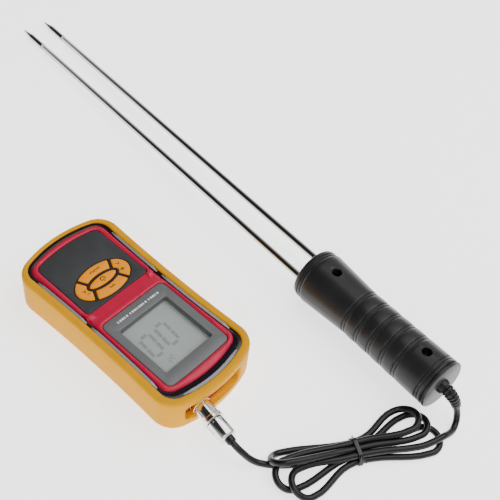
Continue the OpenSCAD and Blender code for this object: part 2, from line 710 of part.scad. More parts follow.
rubber_boot();
front_case();
back_case();
bezel_band();
trim_inlays();
keypad_panel();
power_key();
measure_key();
set_key();
up_key();
down_key();
keypad_mat();
display_frame();
lcd_window();
lcd_glass();
backlight_plate();
lcd_connector_strips();
main_board();
control_chip();
board_components();
board_screws();
case_screws();
batteries();
battery_contacts();
battery_leads();
battery_cover();
socket_shell();
socket_nut();
socket_insert();
socket_pins();
socket_wires();
lock_ring();
plug_body();
plug_insert();
plug_contacts();
plug_collar();
cord_plug_end();
cord_hank();
cord_tie();
cord_handle_end();
strain_relief();
handle_upper();
handle_lower();
handle_screws();
rod_block();
probe_rod_left();
probe_rod_right();
tip_insulators();
electrode_tips();
probe_wires();
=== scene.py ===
"""Looks of the grain moisture meter: the meter in its rubber boot, the tied lead and the two-needle probe."""

import json
from math import atan2, cos, pi, radians, sin, sqrt

import bmesh
import bpy
from mathutils import Matrix, Vector
from mathutils.geometry import delaunay_2d_cdt


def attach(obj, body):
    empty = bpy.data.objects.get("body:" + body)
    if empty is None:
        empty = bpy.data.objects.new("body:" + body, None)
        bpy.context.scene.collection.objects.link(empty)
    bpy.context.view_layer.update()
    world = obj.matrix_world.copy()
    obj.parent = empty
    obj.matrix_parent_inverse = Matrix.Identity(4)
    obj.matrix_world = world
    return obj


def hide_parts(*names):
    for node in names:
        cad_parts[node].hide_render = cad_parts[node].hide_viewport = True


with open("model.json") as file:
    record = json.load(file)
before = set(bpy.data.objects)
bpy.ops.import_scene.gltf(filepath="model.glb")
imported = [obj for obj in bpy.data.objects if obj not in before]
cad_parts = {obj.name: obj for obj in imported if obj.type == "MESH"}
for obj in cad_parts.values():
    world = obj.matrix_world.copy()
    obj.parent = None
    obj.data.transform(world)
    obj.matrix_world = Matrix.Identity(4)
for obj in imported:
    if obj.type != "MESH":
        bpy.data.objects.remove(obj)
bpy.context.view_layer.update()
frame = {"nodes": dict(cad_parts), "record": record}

MM = 0.001
scene = bpy.context.scene
nodes = frame["nodes"]
slot_of = {s["node"]: s["material_slot"] for s in frame["record"]["subparts"]}


# ---- camera, world and lights ----

CAMERA_AT = (259.75, 284.0, 553.83)
CAMERA_AZIMUTH, CAMERA_ELEVATION, CAMERA_ROLL = 126.752, 50.011, 7.705
CAMERA_LENS = 69.19


def make_camera():
    azimuth, elevation, roll = map(radians, (CAMERA_AZIMUTH, CAMERA_ELEVATION, CAMERA_ROLL))
    back = Vector((sin(azimuth) * cos(elevation), -cos(azimuth) * cos(elevation), sin(elevation)))
    level = Vector((cos(azimuth), sin(azimuth), 0))
    across = back.cross(level)
    right = level * cos(roll) + across * sin(roll)
    up = across * cos(roll) - level * sin(roll)
    data = bpy.data.cameras.new("camera")
    data.lens = CAMERA_LENS
    data.sensor_width = 36
    data.clip_start = 0.01
    data.clip_end = 150
    camera = bpy.data.objects.new("camera", data)
    turn = Matrix((right, up, back)).transposed().to_4x4()
    camera.matrix_world = Matrix.Translation(Vector(CAMERA_AT) * MM) @ turn
    scene.collection.objects.link(camera)
    scene.camera = camera


def make_world():
    """White cloth all round, and a dark opening above the keypad end that shows in steel and gloss."""
    opening = Vector((0.3, -0.55, 0.78)).normalized()
    world = bpy.data.worlds.new("studio")
    scene.world = world
    world.use_nodes = True
    tree = world.node_tree
    place = tree.nodes.new("ShaderNodeTexCoord")
    nearness = tree.nodes.new("ShaderNodeVectorMath")
    nearness.operation = "DOT_PRODUCT"
    nearness.inputs[1].default_value = opening
    ramp = tree.nodes.new("ShaderNodeValToRGB")
    stops = [(0.0, 0.9), (0.48, 0.9), (0.68, 0.25), (0.86, 0.03), (1.0, 0.03)]
    set_ramp(ramp, [(at, (value, value, value)) for at, value in stops])
    tree.links.new(place.outputs["Generated"], nearness.inputs[0])
    tree.links.new(nearness.outputs["Value"], ramp.inputs["Fac"])
    tree.links.new(ramp.outputs["Color"], tree.nodes["Background"].inputs["Color"])
    tree.nodes["Background"].inputs["Strength"].default_value = 1.0


def set_ramp(ramp, stops):
    elements = ramp.color_ramp.elements
    while len(elements) < len(stops):
        elements.new(0.5)
    for element, (at, color) in zip(elements, stops):
        element.position = at
        element.color = (*color, 1)


def make_light(name, at, aim, size, power):
    data = bpy.data.lights.new(name, "AREA")
    data.shape = "RECTANGLE"
    data.size, data.size_y = size
    data.energy = power
    light = bpy.data.objects.new(name, data)
    light.location = at
    light.rotation_euler = (Vector(aim) - Vector(at)).to_track_quat("-Z", "Y").to_euler()
    scene.collection.objects.link(light)


FLOOR_GLOW = 1.9

make_camera()
make_world()
make_light("top_light", (-0.5, 0.3, 1.5), (-0.05, 0.05, 0), (1.6, 1.6), 22)
make_light("side_light", (1.1, 0.6, 0.8), (-0.05, 0.05, 0), (0.9, 0.9), 4)


# ---- materials ----


def srgb(red, green, blue):
    def linear(value):
        value /= 255
        return value / 12.92 if value <= 0.04045 else ((value + 0.055) / 1.055) ** 2.4

    return linear(red), linear(green), linear(blue)


def shaded(color, factor):
    return tuple(min(1, part * factor) for part in color)


MATERIALS = {}


def make_material(name, color, roughness, spread=0.06, blotch=90, grain=2500, bump=0.05, rough_spread=0.05,
                  metallic=0.0, specular=0.5, tint=(1, 1, 1), edge_tone=None):
    """A moulded or metal finish: slow colour change, fine grain in bump and roughness, and, if asked, a
    lighter colour on sharp edges, which on the boot is a painted highlight along its rims.

    blotch and grain are noise scales per metre.
    """
    material = bpy.data.materials.new(name)
    material.use_nodes = True
    tree = material.node_tree
    shader = tree.nodes["Principled BSDF"]
    shader.inputs["Metallic"].default_value = metallic
    shader.inputs["Specular IOR Level"].default_value = specular
    shader.inputs["Specular Tint"].default_value = (*tint, 1)
    place = tree.nodes.new("ShaderNodeTexCoord")

    def noise(scale, detail):
        node = tree.nodes.new("ShaderNodeTexNoise")
        node.inputs["Scale"].default_value = scale
        node.inputs["Detail"].default_value = detail
        tree.links.new(place.outputs["Object"], node.inputs["Vector"])
        return node

    slow, fine = noise(blotch, 3), noise(grain, 4)
    shades = tree.nodes.new("ShaderNodeValToRGB")
    set_ramp(shades, [(0.3, shaded(color, 1 - spread)), (0.7, shaded(color, 1 + spread))])
    tree.links.new(slow.outputs["Fac"], shades.inputs["Fac"])
    surface = shades.outputs["Color"]
    # A lighter colour on sharp edges, found by pointiness; on the boot it is a painted highlight along the
    # rims.
    if edge_tone:
        edge = tree.nodes.new("ShaderNodeNewGeometry")
        mask = tree.nodes.new("ShaderNodeValToRGB")
        set_ramp(mask, [(0.52, (0, 0, 0)), (0.62, (1, 1, 1))])
        blend = tree.nodes.new("ShaderNodeMix")
        blend.data_type = "RGBA"
        blend.inputs[7].default_value = (*edge_tone, 1)
        tree.links.new(edge.outputs["Pointiness"], mask.inputs["Fac"])
        tree.links.new(mask.outputs["Color"], blend.inputs["Factor"])
        tree.links.new(surface, blend.inputs[6])
        surface = blend.outputs[2]
    tree.links.new(surface, shader.inputs["Base Color"])
    sheen = tree.nodes.new("ShaderNodeMapRange")
    sheen.inputs["To Min"].default_value = max(0.02, roughness - rough_spread)
    sheen.inputs["To Max"].default_value = roughness + rough_spread
    tree.links.new(fine.outputs["Fac"], sheen.inputs["Value"])
    tree.links.new(sheen.outputs["Result"], shader.inputs["Roughness"])
    relief = tree.nodes.new("ShaderNodeBump")
    relief.inputs["Strength"].default_value = bump
    relief.inputs["Distance"].default_value = 0.0002
    tree.links.new(fine.outputs["Fac"], relief.inputs["Height"])
    tree.links.new(relief.outputs["Normal"], shader.inputs["Normal"])
    MATERIALS[name] = material
    return material


def make_window_material():
    """Clear plastic that lets the display below be lit and shows only a faint gloss."""
    material = make_material("window_plastic", (0.8, 0.85, 0.85), 0.05, bump=0.01)
    material.node_tree.nodes["Principled BSDF"].inputs["Alpha"].default_value = 0.12


# The boot's lighter edge colour is a painted highlight along its rims.
make_material("boot_rubber", (0.7, 0.32, 0.0003), 0.42, 0.05, 60, 1800, 0.1, specular=0.04,
              tint=(1.0, 0.7, 0.2), edge_tone=(0.8, 0.39, 0.0008))
make_material("red_plastic", (0.5, 0.01, 0.048), 0.22, 0.06, 80, 3000, 0.02, specular=0.35,
              tint=(1.0, 0.7, 0.75))
make_material("black_trim", (0.008, 0.006, 0.009), 0.14, 0.15, 80, 3000, 0.02, specular=0.4)
make_material("silver_trim", (0.27, 0.275, 0.3), 0.38, 0.04, 90, 2500, 0.01, metallic=0.5)
make_material("panel_plastic", (0.036, 0.037, 0.039), 0.5, 0.08, 100, 4000, 0.08, specular=0.25)
make_material("key_rubber", (0.95, 0.32, 0.004), 0.5, 0.04, 120, 3000, 0.06, specular=0.12,
              tint=(1.0, 0.85, 0.6))
# key_gap: near-black colour of the web between the keys, painted shade in the gaps around them.
make_material("key_gap", (0.02, 0.013, 0.01), 0.6, 0.1, 120, 3000, 0.06, specular=0.2)
make_material("mat_rubber", srgb(120, 120, 122), 0.6, 0.05, 100, 2000, 0.1)
make_material("grey_plastic", (0.125, 0.128, 0.13), 0.3, 0.05, 90, 3500, 0.03, specular=0.35)
make_window_material()
make_material("lcd", (0.36, 0.4, 0.37), 0.35, 0.03, 60, 1500, 0.02)
make_material("lcd_ink", (0.17, 0.19, 0.175), 0.4, 0.04, 200, 1500, 0.02)
make_material("white_plastic", srgb(235, 235, 230), 0.5, 0.03, 100, 2500, 0.06)
make_material("board", srgb(22, 92, 48), 0.4, 0.2, 350, 2500, 0.1)
make_material("component", srgb(30, 30, 32), 0.5, 0.15, 300, 2500, 0.1)
make_material("steel", (0.45, 0.445, 0.44), 0.1, 0.05, 70, 2200, 0.02, metallic=1.0)
make_material("plated", (0.78, 0.77, 0.75), 0.12, 0.05, 120, 2600, 0.03, metallic=1.0)
make_material("brass", srgb(214, 170, 88), 0.2, 0.08, 150, 2500, 0.03, metallic=1.0)
make_material("cell", srgb(40, 44, 50), 0.3, 0.15, 120, 2000, 0.03)
make_material("wire", srgb(168, 30, 30), 0.35, 0.08, 150, 2500, 0.05)
# The handle's plastic turns a little lighter on its sharp edges.
make_material("black_plastic", (0.015, 0.015, 0.016), 0.34, 0.15, 60, 2600, 0.05,
              specular=0.25, edge_tone=(0.03, 0.03, 0.032))
make_material("cord_rubber", (0.006, 0.006, 0.0065), 0.3, 0.15, 120, 2200, 0.06, specular=0.3)
make_material("insulator", srgb(214, 214, 208), 0.4, 0.04, 120, 2500, 0.05)
make_material("key_ink", (0.016, 0.007, 0.003), 0.6, 0.1, 300, 2500, 0.05, specular=0.2)
make_material("white_ink", (0.9, 0.92, 0.94), 0.6, 0.04, 300, 2500, 0.03)

for node_name, node_object in nodes.items():
    for material_slot in node_object.material_slots:
        material_slot.material = MATERIALS[slot_of[node_name]]


# ---- mesh helpers ----


def add_piece(name, vertices, faces, body, finish, replaces=(), sharp=35):
    """A mesh piece from points in millimetres. It rides on a body and may stand for CAD nodes."""
    mesh = bpy.data.meshes.new(name)
    mesh.from_pydata([tuple(Vector(v) * MM) for v in vertices], [], faces)
    shell = bmesh.new()
    shell.from_mesh(mesh)
    bmesh.ops.remove_doubles(shell, verts=shell.verts, dist=2e-7)
    bmesh.ops.recalc_face_normals(shell, faces=shell.faces)
    shell.to_mesh(mesh)
    shell.free()
    piece = bpy.data.objects.new(name, mesh)
    scene.collection.objects.link(piece)
    return dress(piece, body, finish, replaces, sharp)


def dress(piece, body, finish, replaces=(), sharp=35):
    piece.data.materials.append(MATERIALS[finish])
    if piece.type == "MESH":
        piece.data.shade_smooth()
        piece.data.set_sharp_from_angle(angle=radians(sharp))
    if body:
        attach(piece, body)
    if replaces:
        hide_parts(*replaces)
    return piece


def joined(*parts):
    """Several (vertices, faces) pairs as one."""
    vertices, faces = [], []
    for part_vertices, part_faces in parts:
        start = len(vertices)
        vertices += list(part_vertices)
        faces += [tuple(start + i for i in face) for face in part_faces]
    return vertices, faces


def placed(matrix, part):
    return [matrix @ Vector(v) for v in part[0]], part[1]


def loft(rings, closed=False):
    """Faces between rings of equal length, around each ring; closed joins the last ring to the first."""
    count = len(rings[0])
    vertices = [v for ring in rings for v in ring]
    faces = []
    for i in range(len(rings) if closed else len(rings) - 1):
        a, b = i * count, (i + 1) % len(rings) * count
        faces += [(a + j, a + (j + 1) % count, b + (j + 1) % count, b + j) for j in range(count)]
    return vertices, faces


def capped(rings):
    """A loft with a flat face on both ends."""
    vertices, faces = loft(rings)
    count = len(rings[0])
    faces.append(tuple(range(count - 1, -1, -1)))
    faces.append(tuple(len(vertices) - count + j for j in range(count)))
    return vertices, faces


def lathe(profile, steps=72):
    """A solid of revolution about z from (radius, height) points that end on the axis or close up."""
    turns = [2 * pi * j / steps for j in range(steps)]
    rings = [[(r * cos(turn), r * sin(turn), z) for turn in turns] for r, z in profile]
    touches = profile[0][0] == 0 or profile[-1][0] == 0
    return loft(rings) if touches else loft(rings, closed=True)


def tube_along(points, radii, sides=20, first=Vector((0, -1, 0.2))):
    """A tube with flat ends whose rings are carried along the points without twist."""
    points = [Vector(p) for p in points]
    rings, side = [], first
    for i, point in enumerate(points):
        ahead = (points[min(i + 1, len(points) - 1)] - points[max(i - 1, 0)]).normalized()
        side = (side - side.dot(ahead) * ahead).normalized()
        other = ahead.cross(side)
        rings.append([point + radii[i] * (cos(2 * pi * j / sides) * side + sin(2 * pi * j / sides) * other)
                      for j in range(sides)])
    return capped(rings)


def smooth_line(points, steps):
    """A smooth line through the points, with steps pieces between two of them."""
    points = [Vector(p) for p in points]
    line = []
    for i in range(len(points) - 1):
        a, b = points[i], points[i + 1]
        chord = (b - a).length
        leave, arrive = b - a, b - a
        if i > 0:
            before = (a - points[i - 1]).length
            leave = (a - points[i - 1]) / before * chord + (b - a) / chord * before
            leave = leave / (before + chord) * chord
        if i < len(points) - 2:
            after = (points[i + 2] - b).length
            arrive = (b - a) / chord * after + (points[i + 2] - b) / after * chord
            arrive = arrive / (chord + after) * chord
        for k in range(steps):
            t = k / steps
            line.append((2 * t**3 - 3 * t**2 + 1) * a + (t**3 - 2 * t**2 + t) * leave
                        + (3 * t**2 - 2 * t**3) * b + (t**3 - t**2) * arrive)
    return line + [points[-1]]


def inset(loop, distance):
    """A flat loop moved inwards, counter-clockwise loops only, by mitred normals."""
    count, shifted = len(loop), []
    for i, (x, y) in enumerate(loop):
        (x0, y0), (x1, y1) = loop[i - 1], loop[(i + 1) % count]
        n0, n1 = Vector((y0 - y, x - x0)).normalized(), Vector((y - y1, x1 - x)).normalized()
        mitre = (n0 + n1).normalized()
        step = distance / max(0.3, mitre.dot(n0))
        shifted.append((x + mitre.x * step, y + mitre.y * step))
    return shifted


def fill(outer, holes=(), extra=()):
    """Triangles between an outer loop and its holes, through any extra points, as (points, faces)."""
    loops = [outer, *holes]
    points = [Vector(p) for loop in (*loops, extra) for p in loop]
    edges, start = [], 0
    for loop in loops:
        edges += [(start + i, start + (i + 1) % len(loop)) for i in range(len(loop))]
        start += len(loop)
    made = delaunay_2d_cdt(points, edges, [], 1, 1e-7)
    flat, faces = made[0], made[2]
    kept = []
    for face in faces:
        middle = sum((flat[i] for i in face), Vector((0, 0))) / len(face)
        if not any(inside(middle, hole) for hole in holes):
            kept.append(tuple(face))
    return [(p.x, p.y) for p in flat], kept


def inside(point, loop):
    hit = False
    for i, (x1, y1) in enumerate(loop):
        x0, y0 = loop[i - 1]
        if (y0 > point.y) != (y1 > point.y) and point.x < (x1 - x0) * (point.y - y0) / (y1 - y0) + x0:
            hit = not hit
    return hit


def at_height(loop, z):
    return [(x, y, z) for x, y in loop]


def plate(outer, holes, bottom, top, edge=0.4, steps=3):
    """A flat plate with rounded top edges on its outline and on its holes."""
    turns = [k / steps * pi / 2 for k in range(steps + 1)]
    shells = []
    rims = []
    for loop, way in [(outer, 1)] + [(hole, -1) for hole in holes]:
        rings = [at_height(loop, bottom)]
        for turn in turns:
            rim = inset(loop, way * edge * (1 - cos(turn)))
            rings.append(at_height(rim, top - edge * (1 - sin(turn))))
        rims.append([(x, y) for x, y, _ in rings[-1]])
        shells.append(loft(rings))
    lid, base = fill(rims[0], rims[1:]), fill(outer, holes)
    shells.append((at_height(lid[0], top), lid[1]))
    shells.append((at_height(base[0], bottom), [face[::-1] for face in base[1]]))
    return joined(*shells)


def cut(piece, cutter):
    """Subtracts a closed mesh, given as (vertices, faces) in millimetres, from a piece."""
    tool = add_piece("cutter", *cutter, None, "component")
    modifier = piece.modifiers.new("cut", "BOOLEAN")
    modifier.operation = "DIFFERENCE"
    modifier.solver = "EXACT"
    modifier.object = tool
    mesh = bpy.data.meshes.new_from_object(piece.evaluated_get(bpy.context.evaluated_depsgraph_get()))
    piece.modifiers.clear()
    old, piece.data = piece.data, mesh
    mesh.name = old.name
    bpy.data.meshes.remove(old)
    bpy.data.objects.remove(tool)
    mesh.shade_smooth()
    mesh.set_sharp_from_angle(angle=radians(35))
    return piece


def soften(node, width=0.15):
    """Rounds the edges of a CAD node that stays, in millimetres."""
    piece = nodes[node]
    weld = piece.modifiers.new("weld", "WELD")
    weld.merge_threshold = 2e-6
    bevel = piece.modifiers.new("round", "BEVEL")
    bevel.width = width * MM
    bevel.segments = 3
    bevel.limit_method = "ANGLE"
    bevel.angle_limit = radians(40)
    bevel.harden_normals = True
    return piece


# ---- sizes of the meter ----

METER_L, WAIST_W, METER_H = 165, 77.6, 30
END_R, CORNER_R, SIDE_R = 95, 17, 1200
CASE_INSET, BEZEL_INSET = 5.2, 8.4
SPLIT_Z, SHOULDER_Z, BAND_Z, INLAY_Z, BEZEL_Z = 15.5, 26.4, 28.2, 29.1, 29.8
PANEL_Z, FLOOR_Z = 28, 27
LCD_Y = 30.8


def arc(centre, radius, start, end, count, first=0):
    turns = [radians(start + (end - start) * i / count) for i in range(first, count + 1)]
    return [(centre[0] + radius * cos(t), centre[1] + radius * sin(t)) for t in turns]


def outline(distance):
    """The meter's plan outline, that far inside the boot's outer face: arched ends, waisted sides."""
    arch = Vector((0, METER_L / 2 - END_R))
    side = Vector((WAIST_W / 2 + SIDE_R, 0))
    gap = side - arch
    along = ((END_R - CORNER_R) ** 2 - (SIDE_R + CORNER_R) ** 2 + gap.length_squared) / (2 * gap.length)
    across = sqrt((END_R - CORNER_R) ** 2 - along**2)
    unit = gap.normalized()
    corner = arch + along * unit + across * Vector((-unit.y, unit.x))
    end_turn = atan2(corner.y - arch.y, corner.x - arch.x) * 180 / pi
    side_turn = atan2(side.y - corner.y, side.x - corner.x) * 180 / pi
    quarter = (arc(arch, END_R - distance, 90, end_turn, 14)
               + arc(corner, CORNER_R - distance, end_turn, side_turn, 16, 1)
               + arc(side, SIDE_R + distance, 180 + side_turn, 180, 10, 1))
    right = quarter + [(x, -y) for x, y in quarter[-2::-1]]
    whole = right + [(-x, y) for x, y in right[-2:0:-1]]
    return whole[::-1]


KEY_END_DRAW, BEZEL_DRAW = 2.5, 4.2


def face_outline(distance, draw=0.0):
    """The outline of the face's parts: nearer to the boot's edge at the keypad end, drawn in at the other."""
    half = METER_L / 2 - distance
    reach = KEY_END_DRAW * min(1, distance / 5)
    return [(x, y * (1 + (reach if y < 0 else -draw) / half)) for x, y in outline(distance)]


def round_rect(width, length, radius, steps=6):
    a, b = width / 2 - radius, length / 2 - radius
    return (arc((a, b), radius, 0, 90, steps) + arc((-a, b), radius, 90, 180, steps)
            + arc((-a, -b), radius, 180, 270, steps) + arc((a, -b), radius, 270, 360, steps))


def bowed(width, length, near_r, far_r, bow, grow=0.0):
    """Flat edge on y = 0, far end bowed outwards."""
    half, end, a, b = width / 2 + grow, length + grow, near_r + grow, far_r + grow
    arch = [((half - b) * (1 - i / 8), end - bow * (1 - i / 8) ** 2) for i in range(1, 16)]
    near = arc((a - half, a - grow), a, 180, 270, 6) + arc((half - a, a - grow), a, 270, 360, 6)
    right, left = (half - b, end - bow - b), (b - half, end - bow - b)
    return near + arc(right, b, 0, 82, 8) + arch + arc(left, b, 98, 180, 8)


def panel_shape(grow=0.0):
    return [(x, -15.3 - y) for x, y in bowed(54, 56.2, 2, 5, 2.4, grow)][::-1]


def frame_shape(grow=0.0):
    return [(x, y - 2.5) for x, y in bowed(54.8, 65.8, 4, 4, 0.6, grow)]


def moved(loop, dx, dy):
    return [(x + dx, y + dy) for x, y in loop]


# ---- boot ----

SLOT_X, SLOT_Z = (-20, 28), (8.5, 22.5)
FINE = 0.02  # keeps the finer arcs inside the box of the CAD boot


def wall_rings(steps):
    return [at_height(face_outline(d), z) for d, z in steps]


def rounded(centre, radius, start, end, count=5):
    """Points (inset, height) of a rounded edge in the boot's wall."""
    return arc(centre, radius, start, end, count)


def make_boot():
    skin = (rounded((3, 3), 3, 270, 180) + [(0, 9), (0, 18)]
            + rounded((2.7, METER_H - 2.7), 2.7, 180, 90, 7) + rounded((4.4, METER_H - 1.4), 1.4, 90, 0, 5)
            + [(5.8, 28.8), (5.0, 28.6), (5.0, 20), (5.0, 3)] + rounded((6.0, 3.0), 1.0, 180, 270, 3))
    window = moved(round_rect(55, 60, 4), 0, -37)
    rings = wall_rings([(d + FINE, z) for d, z in skin])
    under = fill(face_outline(3 + FINE), [window])
    floor = fill(face_outline(6 + FINE), [window])
    hole = loft([at_height(window, 0), at_height(window, 2)])
    shell = joined(loft(rings), (at_height(under[0], 0), under[1]), (at_height(floor[0], 2), floor[1]), hole)
    boot = add_piece("rubber_boot_skin", *shell, "meter", "boot_rubber", ["rubber_boot"])
    return cut(boot, slot_cutter())


def slot_cutter():
    """The slot in the connector end, with a lip that opens out to the boot's arched face."""
    middle_x, middle_z = sum(SLOT_X) / 2, sum(SLOT_Z) / 2
    rings = []
    for depth, flare in [(-3, 1.4), (0.0, 1.0), (0.15, 0.6), (0.5, 0.22), (1.0, 0), (9, 0)]:
        shape = round_rect(SLOT_X[1] - SLOT_X[0] + 2 * flare, SLOT_Z[1] - SLOT_Z[0] + 2 * flare, 3 + flare, 8)
        ring = []
        for x, z in shape:
            x += middle_x
            ring.append((x, METER_L / 2 - END_R + sqrt((END_R - depth) ** 2 - x * x), z + middle_z))
        rings.append(ring)
    return capped(rings)


# ---- case, bezel and trim ----


def nearest(x, y, loop):
    """Distance from a point to a loop."""
    best = 1e9
    for i, (x1, y1) in enumerate(loop):
        x0, y0 = loop[i - 1]
        dx, dy = x1 - x0, y1 - y0
        t = max(0, min(1, ((x - x0) * dx + (y - y0) * dy) / max(1e-12, dx * dx + dy * dy)))
        best = min(best, (x - x0 - t * dx) ** 2 + (y - y0 - t * dy) ** 2)
    return sqrt(best)


def edge_drop(distance, radius):
    """How far a rounded edge of that radius lies below the top, at a distance from the edge."""
    if distance >= radius:
        return 0
    return radius - sqrt(max(0, radius**2 - (radius - distance) ** 2))


def bezel_height(from_edge, from_pocket):
    """A rounded rim follows each pocket; beyond it the bezel falls gently towards its outer edge."""
    beyond = max(0, min(1, (from_pocket - 2.6) / 1.6))
    valley = 0.45 * beyond * beyond * (3 - 2 * beyond)
    slope = 0.05 * max(0, from_pocket - 3.2)
    return BEZEL_Z - valley - slope - 0.8 * edge_drop(from_edge, 2.3) - 0.9 * edge_drop(from_pocket, 1.1)


def make_bezel():
    """The bezel's skin: points on lines that follow its edges, joined to triangles and raised."""
    outer, pockets = face_outline(BEZEL_INSET, BEZEL_DRAW), [panel_shape(0.3), frame_shape(0.3)]
    points = []
    for step in (0.12, 0.3, 0.6, 1.0, 1.5, 2.0, 2.6):
        for x, y in inset(outer, step):
            if min(nearest(x, y, pocket) for pocket in pockets) > 0.7 * step:
                points.append((x, y))
    for step in (0.1, 0.25, 0.5, 0.9, 1.4, 2.0, 2.6, 3.2, 4.2, 5.4):
        for pocket, other in (pockets, pockets[::-1]):
            for x, y in inset(pocket, -step):
                if inside(Vector((x, y)), outer) and not inside(Vector((x, y)), other) \
                        and nearest(x, y, outer) > 0.35 * step and nearest(x, y, other) > 0.7 * step:
                    points.append((x, y))
    flat, faces = fill(outer, pockets, points)
    top = []
    for x, y in flat:
        from_edge = nearest(x, y, outer)
        from_pocket = min(nearest(x, y, pocket) for pocket in pockets)
        top.append((x, y, bezel_height(from_edge, from_pocket)))
    return top, faces


def make_front_case():
    top, faces = make_bezel()
    base = [(x, y, FLOOR_Z) for x, y, _ in top]
    shell = (top + base, faces + [tuple(len(top) + i for i in face[::-1]) for face in faces])
    edge_use = {}
    for face in faces:
        for a, b in zip(face, face[1:] + face[:1]):
            edge_use[(a, b)] = edge_use.get((a, b), 0) + 1
    skirt = [(b, a, len(top) + a, len(top) + b) for a, b in edge_use if (b, a) not in edge_use]
    shell = (shell[0], shell[1] + skirt)
    key_hole = moved(oval(22.3, 13.8), 0, -31)
    glass_hole = moved(round_rect(44.6, 46.8, 1), 0, LCD_Y)
    seat_edge = face_outline(BEZEL_INSET + 0.5, BEZEL_DRAW)
    seat = plate(seat_edge, [key_hole, glass_hole], FLOOR_Z, PANEL_Z, 0.05, 1)
    wall = [(CASE_INSET, SPLIT_Z), (CASE_INSET, SHOULDER_Z - 0.8), (CASE_INSET + 0.3, SHOULDER_Z - 0.2),
            (CASE_INSET + 0.8, SHOULDER_Z), (BEZEL_INSET + 2, SHOULDER_Z), (BEZEL_INSET + 2, SHOULDER_Z - 2),
            (CASE_INSET + 2, SHOULDER_Z - 2), (CASE_INSET + 2, SPLIT_Z)]
    riser = [(0, SHOULDER_Z - 0.2), (0, FLOOR_Z + 0.2), (1.9, FLOOR_Z + 0.2), (1.9, SHOULDER_Z - 0.2)]
    step = [at_height(face_outline(BEZEL_INSET + d, BEZEL_DRAW), z) for d, z in riser]
    ledge = [at_height(face_outline(BEZEL_INSET - 1), SHOULDER_Z - 0.01),
             at_height(face_outline(BEZEL_INSET + 1, BEZEL_DRAW), SHOULDER_Z - 0.01),
             at_height(face_outline(BEZEL_INSET + 1, BEZEL_DRAW), SHOULDER_Z - 2),
             at_height(face_outline(BEZEL_INSET - 1), SHOULDER_Z - 2)]
    whole = joined(shell, seat, loft(wall_rings(wall), True), loft(step, True), loft(ledge, True))
    case = add_piece("front_case_shell", *whole, "meter", "red_plastic", ["front_case"])
    return cut(case, placed(PLUG, lathe([(0, -12), (5.5, -12), (5.5, 1), (0, 1)], 48)))


def make_band():
    outside = [(0, SHOULDER_Z), (0, BAND_Z - 0.3), (0.1, BAND_Z - 0.08), (0.3, BAND_Z)]
    inside_edge = [(0.3, BAND_Z), (0.1, BAND_Z - 0.1), (0, BAND_Z - 0.35), (0, SHOULDER_Z)]
    rings = wall_rings([(CASE_INSET + d, z) for d, z in outside])
    rings += [at_height(face_outline(BEZEL_INSET - d, BEZEL_DRAW), z) for d, z in inside_edge]
    add_piece("gloss_band", *loft(rings, True), "meter", "black_trim", ["bezel_band"])


OUTER, SIDE_INNER, END_INNER = 5.9, 7.9, 8.3


def make_inlays():
    """Silver strips in the band: stretches of the outline whose ends taper."""
    strips = []
    stretches = [(SIDE_INNER, lambda x, y, way=way, low=low, high=high: x * way > 25 and low < y < high)
                 for way in (1, -1) for low, high in ((-60, -11), (-7, 57))]
    stretches.append((END_INNER, lambda x, y: abs(x) < 26 and y > 65))
    for inner, wanted in stretches:
        section = [(OUTER, BAND_Z), (OUTER, INLAY_Z - 0.2), (OUTER + 0.2, INLAY_Z), (inner - 0.2, INLAY_Z),
                   (inner, INLAY_Z - 0.2), (inner, BAND_Z)]
        strips.append(capped(dense_strip(section, wanted)))
    add_piece("silver_inlays", *joined(*strips), "meter", "silver_trim", ["trim_inlays"])


def dense_strip(section, wanted):
    """Rings of a strip's section at the outline's points that are wanted, in order along the outline."""
    base = outline(section[0][0])
    counts = [max(1, round(((x1 - x0) ** 2 + (y1 - y0) ** 2) ** 0.5 / 1.5)) for (x1, y1), (x0, y0) in
              zip(base, base[-1:] + base[:-1])]
    loops = [at_height(densified(face_outline(d), counts), z) for d, z in section]
    hits = [i for i, (x, y, _) in enumerate(loops[2]) if wanted(x, y)]
    gaps = [k for k in range(1, len(hits)) if hits[k] != hits[k - 1] + 1]
    if gaps:
        hits = hits[gaps[0]:] + hits[:gaps[0]]
    rings = []
    for rank, i in enumerate(hits):
        ring = [Vector(loop[i]) for loop in loops]
        core = sum(ring, Vector()) / len(ring)
        core.z = BAND_Z
        taper = min(1, 0.45 + 0.55 * min(rank, len(hits) - 1 - rank) / 3)
        rings.append([core + (v - core) * taper for v in ring])
    return rings


def densified(loop, counts):
    dense = []
    for i, (x1, y1) in enumerate(loop):
        x0, y0 = loop[i - 1]
        count = counts[i]
        dense += [(x0 + (x1 - x0) * k / count, y0 + (y1 - y0) * k / count) for k in range(1, count + 1)]
    return dense


def oval(rx, ry, start=0.0, end=360.0, count=64):
    """Points of an oval; a whole turn leaves out the last one."""
    last = count if abs(end - start) >= 360 else count + 1
    turns = [radians(start + (end - start) * i / count) for i in range(last)]
    return [(rx * cos(t), ry * sin(t)) for t in turns]


# ---- keypad ----

KEYS_Y, KEY_TOP, KEY_BOTTOM = -31, 30, 25.4
RING_OUTER, RING_INNER, KEYS_HOLE = (22.6, 14.1), (13.1, 5.3), (22.8, 14.3)


def soft_corners(loop, cut_back, bend=35):
    """A loop whose sharp corners are rounded."""
    rounded_loop = []
    for i, p in enumerate(loop):
        here, before, after = Vector(p), Vector(loop[i - 1]), Vector(loop[(i + 1) % len(loop)])
        arrive, leave = here - before, after - here
        if arrive.angle(leave) < radians(bend):
            rounded_loop.append(p)
            continue
        a = here - arrive.normalized() * min(cut_back, arrive.length * 0.9)
        b = here + leave.normalized() * min(cut_back, leave.length * 0.9)
        for k in range(7):
            t = k / 6
            rounded_loop.append(tuple((1 - t) ** 2 * a + 2 * t * (1 - t) * here + t * t * b))
    return rounded_loop


